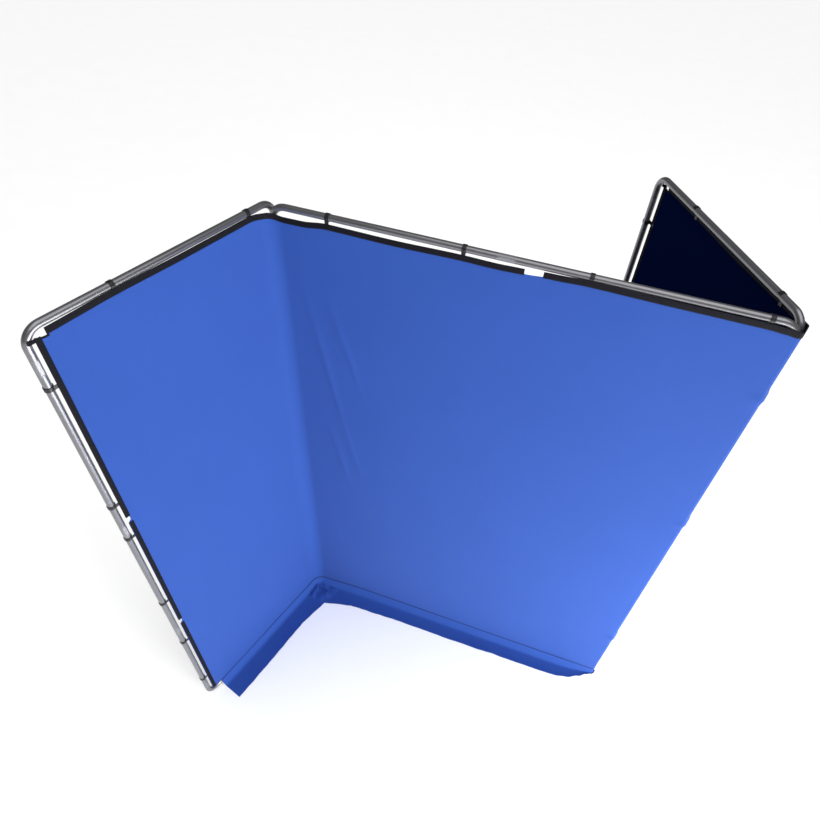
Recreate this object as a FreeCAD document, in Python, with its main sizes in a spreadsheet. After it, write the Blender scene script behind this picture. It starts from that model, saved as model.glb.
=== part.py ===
import FreeCAD, Part
import math
import os

import Sketcher
from FreeCAD import Placement, Rotation, Vector

# Free-standing folding backdrop wall. A centre frame and two side frames are bent from round
# aluminium tube, joined by flush couplers, and hinged to each other by double snap clips.
# A stretched cloth cover with a webbing border hangs on their front.
# Each frame is modelled in its own panel frame: X along the panel from its left post's axis,
# Y through it with the front at -Y, Z up from the floor. A Placement then stands it in the layout.

doc = FreeCAD.newDocument("folding_backdrop_wall")
sheet = doc.addObject("Spreadsheet::Sheet", "sizes")

DRIVING_SIZES = {
    # frames, measured between the posts' axes; the height is over everything
    "overall_height": 2900.0,
    "centre_width": 1920.0,
    "side_width": 1020.0,
    "tube_diameter": 28.0,
    "tube_wall": 1.5,
    "bend_radius": 60.0,
    # joints between tubes, as drops below the very top and rises above the floor
    "top_joint_drop": 150.0,
    "upper_joint_drop": 1062.0,
    "lower_joint_drop": 2002.0,
    "foot_joint_rise": 150.0,
    "mid_joint_x": 932.0,
    "coupler_length": 70.0,
    "spigot_length": 35.0,
    "coupler_bore": 18.0,
    "coupler_flat": 1.2,
    "running_gap": 0.05,
    # double clips that hinge the frames
    "hinge_spacing": 36.0,
    "hinge_clip_wall": 4.0,
    "hinge_clip_width": 30.0,
    "hinge_web": 10.0,
    "hinge_mouth": 15.0,
    # clips that hold the cover
    "cover_clip_wall": 2.5,
    "cover_clip_width": 16.0,
    "cover_clip_mouth": 17.0,
    "clip_tongue_reach": 44.0,
    "clip_tongue_top": 9.0,
    # cover, webbing border and floor skirt
    "cover_back": 15.0,
    "cover_thickness": 1.5,
    "edge_gap": 22.0,
    "hinge_edge_gap": 20.0,
    "left_hinge_edge_gap": 54.0,
    "corner_cutout": 40.0,
    "webbing_width": 28.0,
    "webbing_thickness": 1.5,
    "side_skirt_depth": 150.0,
    "side_skirt_start": 83.0,
    "centre_skirt_depth": 120.0,
    "centre_skirt_far_depth": 104.0,
    "skirt_taper": 290.0,
    # how far each side frame stands folded from in line: left forward, right backward
    "left_fold": 74.0,
    "right_fold": 120.5,
    # how far the clips stand turned back about the centre frame's posts, from in line
    "left_clip_turn": 66.0,
    "right_clip_turn": 70.0,
}

HINGE_CLIP_DROPS = (349.0, 1163.0, 2380.0)
POST_CLIP_DROPS = (239.0, 889.0, 1115.0, 1696.0, 2138.0, 2653.0)
SIDE_TOP_CLIPS_FROM_OUTER = (302.0, 885.0)
CENTRE_TOP_CLIPS = (238.0, 776.0, 1236.0, 1827.0)
SIDE_WEBBING_SPANS = ((76.0, 988.0), (1024.0, 1916.0), (1952.0, 2850.0))
CENTRE_WEBBING_BREAK = (1004.0, 1072.0)

for row, (alias, amount) in enumerate(DRIVING_SIZES.items(), start=1):
    sheet.set("A%d" % row, alias)
    sheet.set("B%d" % row, str(amount))
    sheet.setAlias("B%d" % row, alias)
doc.recompute()


def number(expression):
    """The value of an expression on the sheet's cells, in millimetres or degrees."""
    return float(sheet.evalExpression(expression))


TUBE_RADIUS = "(sizes.tube_diameter / 2)"
BORE_RADIUS = "(sizes.tube_diameter / 2 + sizes.running_gap)"
HALF_COUPLER = "(sizes.coupler_length / 2)"
AXIS_TOP = "(sizes.overall_height - sizes.tube_diameter / 2)"
LEG_TOP = "(sizes.top_joint_drop - sizes.tube_diameter / 2 - sizes.coupler_length / 2)"
LEG_FOOT = "(sizes.foot_joint_rise - sizes.tube_diameter / 2 - sizes.coupler_length / 2)"
COVER_TOP = "(sizes.overall_height - sizes.tube_diameter / 2 - sizes.edge_gap)"
COVER_FRONT = "(sizes.cover_back + sizes.cover_thickness)"

subparts = []


def keep(feature, label, placement):
    """Names a finished sub-part and stands it in the layout."""
    feature.Label = label
    feature.Placement = placement
    subparts.append(feature)
    return feature


def origin_plane(body, role):
    for plane in body.Origin.OriginFeatures:
        if plane.Role == role:
            return plane
    raise ValueError(role)


def new_sketch(body, role):
    sketch = body.newObject("Sketcher::SketchObject", "sketch")
    sketch.AttachmentSupport = [(origin_plane(body, role), "")]
    sketch.MapMode = "FlatFace"
    return sketch


def size_constraint(sketch, name, constraint, expression):
    """Adds a dimension, and binds it to the sheet."""
    index = sketch.addConstraint(constraint)
    sketch.renameConstraint(index, name)
    sketch.setExpression("Constraints." + name, expression)


def ring_sketch(body):
    """The tube's wall: two circles about the sketch's origin."""
    sketch = new_sketch(body, "XY_Plane")
    outer = number(TUBE_RADIUS)
    inner = outer - number("sizes.tube_wall")
    for index, (name, radius) in enumerate((("outside", outer), ("inside", inner))):
        sketch.addGeometry(Part.Circle(Vector(0, 0, 0), Vector(0, 0, 1), radius))
        sketch.addConstraint(Sketcher.Constraint("Coincident", index, 3, -1, 1))
        wall = "" if name == "outside" else " - sizes.tube_wall"
        bound = TUBE_RADIUS + wall
        size_constraint(sketch, name, Sketcher.Constraint("Radius", index, radius), bound)
    return sketch


def straight_tube(label, length, placement):
    """A straight post section, standing on the panel frame's floor before it is placed."""
    body = doc.addObject("PartDesign::Body", label)
    pad = body.newObject("PartDesign::Pad", "pad")
    pad.Profile = ring_sketch(body)
    pad.setExpression("Length", length)
    return keep(body, label, placement)


def path_sketch(body, width, leg, bends):
    """A leg up, a bend, a run along X and, with two bends, a second bend and leg down."""
    sketch = new_sketch(body, "XZ_Plane")
    run, rise, bend = number(width), number(leg), number("sizes.bend_radius")
    up = Vector(0, 0, 1)
    quarter, half = math.pi / 2, math.pi
    sketch.addGeometry(Part.LineSegment(Vector(0, 0, 0), Vector(0, rise - bend, 0)))
    first = Part.Circle(Vector(bend, rise - bend, 0), up, bend)
    sketch.addGeometry(Part.ArcOfCircle(first, quarter, half))
    run_end = run - bend if bends == 2 else run
    sketch.addGeometry(Part.LineSegment(Vector(bend, rise, 0), Vector(run_end, rise, 0)))
    for constraint in (("Coincident", 0, 1, -1, 1), ("Vertical", 0), ("Tangent", 0, 2, 1, 2),
                       ("Tangent", 1, 1, 2, 1), ("Horizontal", 2)):
        sketch.addConstraint(Sketcher.Constraint(*constraint))
    size_constraint(sketch, "bend", Sketcher.Constraint("Radius", 1, bend), "sizes.bend_radius")
    size_constraint(sketch, "leg", Sketcher.Constraint("DistanceY", -1, 1, 2, 1, rise), leg)
    if bends == 2:
        second = Part.Circle(Vector(run - bend, rise - bend, 0), up, bend)
        sketch.addGeometry(Part.ArcOfCircle(second, 0, quarter))
        sketch.addGeometry(Part.LineSegment(Vector(run, rise - bend, 0), Vector(run, 0, 0)))
        for constraint in (("Tangent", 2, 2, 3, 2), ("Tangent", 3, 1, 4, 1), ("Vertical", 4),
                           ("Equal", 1, 3), ("PointOnObject", 4, 2, -1)):
            sketch.addConstraint(Sketcher.Constraint(*constraint))
    last = 4 if bends == 2 else 2
    size_constraint(sketch, "width", Sketcher.Constraint("DistanceX", -1, 1, last, 2, run), width)
    return sketch


def bent_tube(label, width, leg, bends, placement):
    """A tube swept round one or two bends."""
    body = doc.addObject("PartDesign::Body", label)
    section = ring_sketch(body)
    path = path_sketch(body, width, leg, bends)
    pipe = body.newObject("PartDesign::AdditivePipe", "pipe")
    pipe.Profile = section
    pipe.Spine = path
    return keep(body, label, placement)


def box(label, size, corner):
    """A box, with its three sizes and its lowest corner bound to the sheet."""
    part = doc.addObject("Part::Box", label)
    for name, expression in zip(("Length", "Width", "Height"), size):
        part.setExpression(name, expression)
    for name, expression in zip("xyz", corner):
        part.setExpression("Placement.Base." + name, expression)
    return part


def cylinder(label, radius, height, corner):
    part = doc.addObject("Part::Cylinder", label)
    part.setExpression("Radius", radius)
    part.setExpression("Height", height)
    for name, expression in zip("xyz", corner):
        part.setExpression("Placement.Base." + name, expression)
    return part


def fuse(label, pieces):
    part = doc.addObject("Part::MultiFuse", label)
    part.Shapes = pieces
    return part


def cut(label, base, tool):
    part = doc.addObject("Part::Cut", label)
    part.Base = base
    part.Tool = tool
    return part


def group(label, pattern, places, placement):
    """Separate copies of one pattern piece, held in one sub-part."""
    copies = []
    for place in places:
        copy = pattern.Shape.copy()
        copy.Placement = place.multiply(pattern.Placement)
        copies.append(copy)
    part = doc.addObject("Part::Feature", label)
    part.Shape = Part.makeCompound(copies)
    return keep(part, label, placement)


def at(x, y, z, turn=0.0, about=Vector(0, 0, 1)):
    return Placement(Vector(x, y, z), Rotation(about, turn))


# ---------------------------------------------------------------- where each frame stands

half_centre = number("sizes.centre_width") / 2
folds = {"left": number("sizes.left_fold"), "right": number("sizes.right_fold")}
clip_turns = {"left": -number("sizes.left_clip_turn"), "right": number("sizes.right_clip_turn")}
spacing = number("sizes.hinge_spacing")
side_width = number("sizes.side_width")


def hinge_clip_place(side):
    """The double clip stands on the centre frame's post, turned towards the back."""
    post_x = -half_centre if side == "left" else half_centre
    return at(post_x, 0, 0, clip_turns[side])


def side_frame_place(side):
    """A side frame turns about its own inner post, held by the clip's far ring."""
    reach = -spacing if side == "left" else spacing
    inner_post_x = side_width if side == "left" else 0.0
    frame_turn = folds[side] - clip_turns[side]
    clip = hinge_clip_place(side)
    return clip.multiply(at(reach, 0, 0, frame_turn)).multiply(at(-inner_post_x, 0, 0))


centre_place = at(-half_centre, 0, 0)
left_place = side_frame_place("left")
right_place = side_frame_place("right")

# ---------------------------------------------------------------- pattern pieces

# The coupler stands along Z: a body as thick as the tubes, with a flat on its front, and a
# spigot at each end that goes inside a tube.
coupler_low = "-" + HALF_COUPLER
coupler_body = cylinder("coupler_body", TUBE_RADIUS, "sizes.coupler_length", ("0", "0", coupler_low))
spigots = cylinder("spigots", TUBE_RADIUS + " - sizes.tube_wall - sizes.running_gap",
                   "sizes.coupler_length + 2 * sizes.spigot_length",
                   ("0", "0", coupler_low + " - sizes.spigot_length"))
coupler_solid = fuse("coupler_solid", [coupler_body, spigots])
coupler_bore = cylinder("coupler_bore", "sizes.coupler_bore / 2",
                        "sizes.coupler_length + 2 * sizes.spigot_length",
                        ("0", "0", coupler_low + " - sizes.spigot_length"))
flat_cutter = box("flat_cutter", ("sizes.tube_diameter", "sizes.coupler_flat", "sizes.coupler_length * 0.8"),
                  ("-" + TUBE_RADIUS, "-" + TUBE_RADIUS, "-sizes.coupler_length * 0.4"))
coupler_space = fuse("coupler_space", [coupler_bore, flat_cutter])
coupler = cut("coupler_pattern", coupler_solid, coupler_space)

# The cover clip grips a tube that runs along Z, with its mouth at the back and a tongue that
# reaches along +X to the back of the webbing.
clip_low = "-sizes.cover_clip_width / 2"
clip_ring = cylinder("clip_ring", TUBE_RADIUS + " + sizes.cover_clip_wall", "sizes.cover_clip_width",
                     ("0", "0", clip_low))
clip_tongue = box("clip_tongue",
                  ("sizes.clip_tongue_reach - sizes.clip_tongue_top", "sizes.cover_clip_wall",
                   "sizes.cover_clip_width"),
                  ("sizes.clip_tongue_top", "-sizes.cover_back", clip_low))
clip_solid = fuse("clip_solid", [clip_ring, clip_tongue])
clip_bore = cylinder("clip_bore", BORE_RADIUS, "sizes.cover_clip_width", ("0", "0", clip_low))
clip_mouth = box("clip_mouth", ("sizes.cover_clip_mouth", "sizes.tube_diameter", "sizes.cover_clip_width"),
                 ("-sizes.cover_clip_mouth / 2", "0", clip_low))
clip_space = fuse("clip_space", [clip_bore, clip_mouth])
cover_clip = cut("cover_clip_pattern", clip_solid, clip_space)

# The double clip has one ring on the centre frame's post, at X = 0, and one on the side frame's.
ring_radius = TUBE_RADIUS + " + sizes.hinge_clip_wall"
hinge_low = "-sizes.hinge_clip_width / 2"
hinge_ring_near = cylinder("hinge_ring_near", ring_radius, "sizes.hinge_clip_width", ("0", "0", hinge_low))
hinge_ring_far = cylinder("hinge_ring_far", ring_radius, "sizes.hinge_clip_width",
                          ("sizes.hinge_spacing", "0", hinge_low))
hinge_bridge = box("hinge_bridge", ("sizes.hinge_spacing", "sizes.hinge_web", "sizes.hinge_clip_width"),
                   ("0", "-sizes.hinge_web / 2", hinge_low))
hinge_solid = fuse("hinge_solid", [hinge_ring_near, hinge_ring_far, hinge_bridge])
hinge_space_parts = []
for index, ring_x in enumerate(("0", "sizes.hinge_spacing")):
    bore = cylinder("hinge_bore_%d" % index, BORE_RADIUS, "sizes.hinge_clip_width",
                    (ring_x, "0", hinge_low))
    mouth = box("hinge_mouth_%d" % index,
                ("sizes.hinge_mouth", "sizes.tube_diameter", "sizes.hinge_clip_width"),
                (ring_x + " - sizes.hinge_mouth / 2", "0", hinge_low))
    hinge_space_parts += [bore, mouth]
hinge_space = fuse("hinge_space", hinge_space_parts)
hinge_clip = cut("hinge_clip_pattern", hinge_solid, hinge_space)
doc.recompute()

# ---------------------------------------------------------------- tube frames

top = number("sizes.overall_height")
axis_top = number(AXIS_TOP)
axis_foot = number(TUBE_RADIUS)
half_coupler = number(HALF_COUPLER)
top_joint = top - number("sizes.top_joint_drop")
upper_joint = top - number("sizes.upper_joint_drop")
lower_joint = top - number("sizes.lower_joint_drop")
foot_joint = number("sizes.foot_joint_rise")
centre_width = number("sizes.centre_width")
mid_joint = number("sizes.mid_joint_x")
ACROSS = Vector(0, 1, 0)
ALONG = Vector(1, 0, 0)
UPRIGHT = Vector(0, 0, 1)

# each post section's name, the joint below it, and its joints' distance apart
POST_SECTIONS = (
    ("upper", upper_joint, "sizes.upper_joint_drop - sizes.top_joint_drop"),
    ("middle", lower_joint, "sizes.lower_joint_drop - sizes.upper_joint_drop"),
    ("lower", foot_joint, "sizes.overall_height - sizes.lower_joint_drop - sizes.foot_joint_rise"),
)


def post(name, x, place):
    """Three straight sections, with a coupler's length left free between them."""
    for section, joint, distance in POST_SECTIONS:
        foot = place.multiply(at(x, 0, joint + half_coupler))
        straight_tube("%s_%s" % (name, section), distance + " - sizes.coupler_length", foot)


def couplers(label, post_xs, run_joints, place):
    """One coupler in each joint: four on every post, and those of the top and bottom runs."""
    places = []
    for x in post_xs:
        for joint in (top_joint, upper_joint, lower_joint, foot_joint):
            places.append(at(x, 0, joint))
    for x, rise in run_joints:
        places.append(at(x, 0, rise, 90, ACROSS))
    group(label, coupler, places, place)


def side_frame(side, place):
    top_place = place.multiply(at(0, 0, top_joint + half_coupler))
    foot_place = place.multiply(at(side_width, 0, foot_joint - half_coupler, 180, ACROSS))
    bent_tube(side + "_top_tube", "sizes.side_width", LEG_TOP, 2, top_place)
    bent_tube(side + "_bottom_tube", "sizes.side_width", LEG_FOOT, 2, foot_place)
    names = ("outer", "inner") if side == "left" else ("inner", "outer")
    for name, x in zip(names, (0.0, side_width)):
        post("%s_%s_post" % (side, name), x, place)
    couplers(side + "_couplers", (0.0, side_width), (), place)


def centre_frame(place):
    left_run = "sizes.mid_joint_x - sizes.coupler_length / 2"
    right_run = "sizes.centre_width - sizes.mid_joint_x - sizes.coupler_length / 2"
    above = top_joint + half_coupler
    below = foot_joint - half_coupler
    bent_tube("centre_top_tube_left", left_run, LEG_TOP, 1, place.multiply(at(0, 0, above)))
    bent_tube("centre_top_tube_right", right_run, LEG_TOP, 1,
              place.multiply(at(centre_width, 0, above, 180, UPRIGHT)))
    bent_tube("centre_bottom_tube_left", left_run, LEG_FOOT, 1,
              place.multiply(at(0, 0, below, 180, ALONG)))
    bent_tube("centre_bottom_tube_right", right_run, LEG_FOOT, 1,
              place.multiply(at(centre_width, 0, below, 180, ACROSS)))
    post("centre_left_post", 0.0, place)
    post("centre_right_post", centre_width, place)
    runs = ((mid_joint, axis_top), (mid_joint, axis_foot))
    couplers("centre_couplers", (0.0, centre_width), runs, place)


centre_frame(centre_place)
side_frame("left", left_place)
side_frame("right", right_place)

# ---------------------------------------------------------------- hinge clips

for side in ("left", "right"):
    facing = 180.0 if side == "left" else 0.0
    rings = [at(0, 0, top - drop, facing, ACROSS) for drop in HINGE_CLIP_DROPS]
    group(side + "_hinge_clips", hinge_clip, rings, hinge_clip_place(side))

# ---------------------------------------------------------------- clips that hold the cover

left_top_xs = SIDE_TOP_CLIPS_FROM_OUTER
right_top_xs = [side_width - x for x in SIDE_TOP_CLIPS_FROM_OUTER]


def top_clips(xs):
    """Clips on a top run, with their tongues hanging down."""
    return [at(x, 0, axis_top, 90, ACROSS) for x in xs]


def post_clips(x, turn):
    """Clips down an outer post, with their tongues towards the cover."""
    return [at(x, 0, top - drop, turn, ACROSS) for drop in POST_CLIP_DROPS]


group("centre_cover_clips", cover_clip, top_clips(CENTRE_TOP_CLIPS), centre_place)
group("left_cover_clips", cover_clip, top_clips(left_top_xs) + post_clips(0, 0), left_place)
group("right_cover_clips", cover_clip, top_clips(right_top_xs) + post_clips(side_width, 180), right_place)

# ---------------------------------------------------------------- cover, webbing and skirt

COVER_SIZE = "sizes.cover_thickness"
SIDE_HINGE_GAP = {"left": "sizes.left_hinge_edge_gap", "right": "sizes.hinge_edge_gap"}


def cover_panel(label, width, left_edge):
    """A stretched panel of the cover, from its top edge down to the floor."""
    return box(label, (width, COVER_SIZE, COVER_TOP), (left_edge, "-" + COVER_FRONT, "0"))


def side_cover(side, place):
    """A side panel of the cover, with the round notch in its outer top corner."""
    left_edge = "sizes.edge_gap" if side == "left" else "sizes.hinge_edge_gap"
    notch_x = "sizes.edge_gap" if side == "left" else "sizes.side_width - sizes.edge_gap"
    width = "sizes.side_width - sizes.edge_gap - " + SIDE_HINGE_GAP[side]
    panel = cover_panel(side + "_cover_panel", width, left_edge)
    notch = doc.addObject("Part::Cylinder", side + "_cover_notch")
    notch.Placement = Placement(Vector(0, 0, 0), Rotation(ALONG, 90))
    notch.setExpression("Radius", "sizes.corner_cutout")
    notch.setExpression("Height", "2 * " + COVER_FRONT)
    notch.setExpression("Placement.Base.x", notch_x)
    notch.setExpression("Placement.Base.z", COVER_TOP)
    keep(cut(side + "_cover", panel, notch), side + "_cover", place)


def compound(label, pieces, place):
    """Separate flat pieces of the cover, in one sub-part."""
    part = doc.addObject("Part::Compound", label)
    part.Links = pieces
    keep(part, label, place)


def webbing_box(label, width, height, x, z):
    return box(label, (width, "sizes.webbing_thickness", height),
               (x, "-" + COVER_FRONT + " - sizes.webbing_thickness", z))


def top_webbing(label, spans, place):
    """Webbing along the cover's top edge, from one distance along the panel to another."""
    boxes = []
    for start, end in spans:
        width = "(%s) - (%s)" % (end, start)
        boxes.append(webbing_box(label + "_strip", width, "sizes.webbing_width", start,
                                 COVER_TOP + " - sizes.webbing_width"))
    compound(label, boxes, place)


def side_webbing(side, place):
    """Webbing down the cover's outer edge, in the lengths between the couplers."""
    x = "sizes.edge_gap" if side == "left" else "sizes.side_width - sizes.edge_gap - sizes.webbing_width"
    boxes = []
    for high, low in SIDE_WEBBING_SPANS:
        boxes.append(webbing_box(side + "_edge_strip", "sizes.webbing_width", str(low - high), x,
                                 "sizes.overall_height - %s" % low))
    compound(side + "_side_webbing", boxes, place)


def skirt(label, corners, place):
    """The part of the cover that lies on the floor; corners are X and forward distances."""
    body = doc.addObject("PartDesign::Body", label)
    sketch = new_sketch(body, "XY_Plane")
    points = [Vector(number(x), -number(forward), 0) for x, forward in corners]
    for index, start in enumerate(points):
        end = points[(index + 1) % len(points)]
        sketch.addGeometry(Part.LineSegment(start, end))
    for index, (x, forward) in enumerate(corners):
        before = index - 1 if index else len(points) - 1
        sketch.addConstraint(Sketcher.Constraint("Coincident", before, 2, index, 1))
        size_constraint(sketch, "along_%d" % index,
                        Sketcher.Constraint("DistanceX", -1, 1, index, 1, number(x)), x)
        size_constraint(sketch, "forward_%d" % index,
                        Sketcher.Constraint("DistanceY", index, 1, -1, 1, number(forward)), forward)
    pad = body.newObject("PartDesign::Pad", "pad")
    pad.Profile = sketch
    pad.setExpression("Length", COVER_SIZE)
    keep(body, label, place)


HINGE_EDGE = "sizes.side_width - sizes.left_hinge_edge_gap"
NOTCH_END = "sizes.edge_gap + sizes.corner_cutout"
CENTRE_END = "sizes.centre_width - sizes.hinge_edge_gap"
SIDE_SKIRT_FRONT = COVER_FRONT + " + sizes.side_skirt_depth"
CENTRE_SKIRT_FRONT = COVER_FRONT + " + sizes.centre_skirt_depth"
CENTRE_SKIRT_FAR_FRONT = COVER_FRONT + " + sizes.centre_skirt_far_depth"

centre_panel = cover_panel("centre_cover_panel", "sizes.centre_width - 2 * sizes.hinge_edge_gap",
                           "sizes.hinge_edge_gap")
compound("centre_cover", [centre_panel], centre_place)
side_cover("left", left_place)
side_cover("right", right_place)
break_start, break_end = (str(x) for x in CENTRE_WEBBING_BREAK)
top_webbing("centre_webbing", (("sizes.hinge_edge_gap", break_start), (break_end, CENTRE_END)),
            centre_place)
top_webbing("left_top_webbing", ((NOTCH_END, HINGE_EDGE),), left_place)
top_webbing("right_top_webbing", (("sizes.hinge_edge_gap", "sizes.side_width - " + NOTCH_END),), right_place)
side_webbing("left", left_place)
side_webbing("right", right_place)
# the skirt is mitred at the left hinge, so that the frames can fold to a right angle, and it
# tapers away towards the right hinge, where it is tucked under
skirt("left_skirt", (("sizes.side_skirt_start", COVER_FRONT), (HINGE_EDGE, COVER_FRONT),
                     (HINGE_EDGE + " - sizes.side_skirt_depth", SIDE_SKIRT_FRONT),
                     ("sizes.side_skirt_start", SIDE_SKIRT_FRONT)), left_place)
skirt("centre_skirt", (("sizes.hinge_edge_gap", COVER_FRONT), (CENTRE_END, COVER_FRONT),
                       (CENTRE_END + " - sizes.skirt_taper", CENTRE_SKIRT_FAR_FRONT),
                       ("sizes.hinge_edge_gap + sizes.centre_skirt_depth", CENTRE_SKIRT_FRONT)),
      centre_place)

# ---------------------------------------------------------------- check, centre and write

doc.recompute()
for feature in doc.Objects:
    if "Invalid" in feature.State or "Error" in feature.State:
        raise RuntimeError("%s did not build" % feature.Label)

layout = FreeCAD.BoundBox()
for part in subparts:
    if part.Shape.isNull() or not part.Shape.isValid():
        raise RuntimeError("%s has no valid shape" % part.Label)
    layout.add(part.Shape.optimalBoundingBox())

# the origin is on the floor, under the middle of the layout
shift = Vector(-layout.Center.x, -layout.Center.y, 0)
for part in subparts:
    part.Placement = Placement(shift, Rotation()).multiply(part.Placement)

os.makedirs("parts", exist_ok=True)
for part in subparts:
    part.Shape.exportStep("parts/%s.step" % part.Label)

print("%d sub-parts, %.1f x %.1f x %.1f mm" % (len(subparts), layout.XLength, layout.YLength, layout.ZLength))
print("lowest point %.3f" % layout.ZMin)
print("centre frame's middle at %.3f, %.3f" % (shift.x, shift.y))
for side in ("left", "right"):
    clip = hinge_clip_place(side)
    reach = -spacing if side == "left" else spacing
    near = clip.multVec(Vector(0, 0, 0)) + shift
    far = clip.multVec(Vector(reach, 0, 0)) + shift
    print("%s hinge axes: %.4f, %.4f and %.4f, %.4f" % (side, near.x, near.y, far.x, far.y))
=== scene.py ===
import math

import bmesh
import bpy
from mathutils import Matrix, Vector, noise


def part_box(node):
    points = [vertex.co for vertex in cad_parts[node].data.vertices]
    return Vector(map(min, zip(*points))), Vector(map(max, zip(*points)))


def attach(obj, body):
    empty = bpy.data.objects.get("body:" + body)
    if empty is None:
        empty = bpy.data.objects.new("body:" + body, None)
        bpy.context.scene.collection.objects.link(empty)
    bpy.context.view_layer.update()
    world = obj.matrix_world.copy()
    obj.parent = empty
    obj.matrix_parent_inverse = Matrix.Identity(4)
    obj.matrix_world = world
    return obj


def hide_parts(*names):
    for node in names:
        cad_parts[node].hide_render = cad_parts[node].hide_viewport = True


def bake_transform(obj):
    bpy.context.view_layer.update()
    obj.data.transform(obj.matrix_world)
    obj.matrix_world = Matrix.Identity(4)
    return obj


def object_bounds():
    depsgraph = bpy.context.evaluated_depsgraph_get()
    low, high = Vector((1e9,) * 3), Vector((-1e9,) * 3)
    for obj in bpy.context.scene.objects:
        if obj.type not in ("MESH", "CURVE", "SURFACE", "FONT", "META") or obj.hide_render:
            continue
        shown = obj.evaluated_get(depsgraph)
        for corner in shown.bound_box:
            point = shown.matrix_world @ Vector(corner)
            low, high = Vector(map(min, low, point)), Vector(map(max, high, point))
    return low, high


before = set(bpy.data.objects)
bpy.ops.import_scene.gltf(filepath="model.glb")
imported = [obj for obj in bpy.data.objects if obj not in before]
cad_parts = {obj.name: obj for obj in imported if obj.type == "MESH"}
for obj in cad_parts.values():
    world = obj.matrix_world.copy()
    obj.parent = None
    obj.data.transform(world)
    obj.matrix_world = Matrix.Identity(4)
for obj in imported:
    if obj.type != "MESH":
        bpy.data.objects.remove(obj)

CAD_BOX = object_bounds()

bl_info = {
    "name": "Folding Backdrop Wall",
    "version": (1, 0, 0),
    "blender": (4, 5, 0),
    "location": "View3D > Sidebar > Backdrop Wall",
    "description": "Dresses a folding tube-frame wall with its cloth, webbing and finishes",
    "category": "Add Mesh",
}

# ---------------------------------------------------------------- where the frames stand

UP = Vector((0.0, 0.0, 1.0))
WALL_HEIGHT = CAD_BOX[1][2]


def post_centre(node):
    """A post's axis in plan, from its node's box."""
    low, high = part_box(node)
    return Vector(((low[0] + high[0]) / 2, (low[1] + high[1]) / 2, 0.0))


LEFT_OUTER = post_centre("left_outer_post_middle")
LEFT_INNER = post_centre("left_inner_post_middle")
CENTRE_LEFT = post_centre("centre_left_post_middle")
CENTRE_RIGHT = post_centre("centre_right_post_middle")
RIGHT_INNER = post_centre("right_inner_post_middle")
RIGHT_OUTER = post_centre("right_outer_post_middle")
CENTRE_MIDDLE = (CENTRE_LEFT + CENTRE_RIGHT) / 2
TUBE_RADIUS = 0.014
TUBE_TOP_AXIS = WALL_HEIGHT - TUBE_RADIUS


def direction(heading):
    return Vector((math.cos(heading), math.sin(heading), 0.0))


def front_of(heading):
    """The way the cover faces, to the right of the way the wall runs."""
    return Vector((math.sin(heading), -math.cos(heading), 0.0))


def heading_of(start, end):
    run = end - start
    return math.atan2(run.y, run.x)


LEFT_HEADING = heading_of(LEFT_OUTER, LEFT_INNER)
CENTRE_HEADING = heading_of(CENTRE_LEFT, CENTRE_RIGHT)
CLIP_HEADING = heading_of(CENTRE_RIGHT, RIGHT_INNER)
RIGHT_HEADING = heading_of(RIGHT_INNER, RIGHT_OUTER)


def smooth(value, low=0.0, high=1.0):
    """Eases from 0 at low to 1 at high."""
    part = min(max((value - low) / (high - low), 0.0), 1.0)
    return part * part * (3 - 2 * part)


def eased_between(stops, value):
    """Eases through a list of (place, amount) stops."""
    for (start, before), (end, after) in zip(stops, stops[1:]):
        if value <= end:
            return before + (after - before) * smooth(value, start, end)
    return stops[-1][1]


# ---------------------------------------------------------------- sizes a user would change


class CoverSizes(bpy.types.PropertyGroup):
    """Sizes of the cloth cover."""

    stand_off: bpy.props.FloatProperty(
        name="Stand-off", description="From the tubes' axes to the cloth's front",
        default=0.0165, min=0.0155, max=0.03, unit="LENGTH")
    thickness: bpy.props.FloatProperty(
        name="Thickness", description="Thickness of the cloth", default=0.0012, unit="LENGTH")
    edge_gap: bpy.props.FloatProperty(
        name="Edge gap", description="From an outer post's axis to the cloth's edge",
        default=0.022, unit="LENGTH")
    corner_radius: bpy.props.FloatProperty(
        name="Corner radius", description="How roundly the cloth crosses the hollow corner",
        default=0.080, unit="LENGTH")
    notch_width: bpy.props.FloatProperty(
        name="Notch width", description="Length of the scoop in each outer top corner",
        default=0.044, unit="LENGTH")
    notch_depth: bpy.props.FloatProperty(
        name="Notch depth", description="Depth of the scoop in each outer top corner",
        default=0.027, unit="LENGTH")
    crease_height: bpy.props.FloatProperty(
        name="Crease height", description="Where the wall turns into the floor skirt",
        default=0.063, unit="LENGTH")
    crease_depth: bpy.props.FloatProperty(
        name="Crease depth", description="How far pulled folds stand out of the cloth",
        default=0.0035, unit="LENGTH")


class BorderSizes(bpy.types.PropertyGroup):
    """Sizes of the webbing border."""

    top_width: bpy.props.FloatProperty(
        name="Top width", description="Width of the webbing along the top",
        default=0.025, unit="LENGTH")
    side_width: bpy.props.FloatProperty(
        name="Side width", description="Width that shows of the webbing down the sides",
        default=0.019, unit="LENGTH")
    thickness: bpy.props.FloatProperty(
        name="Thickness", description="Thickness of the webbing folded over the cloth's edge",
        default=0.0032, unit="LENGTH")
    lift: bpy.props.FloatProperty(
        name="Lift", description="How far the webbing's face stands in front of the cloth",
        default=0.0015, unit="LENGTH")


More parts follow.
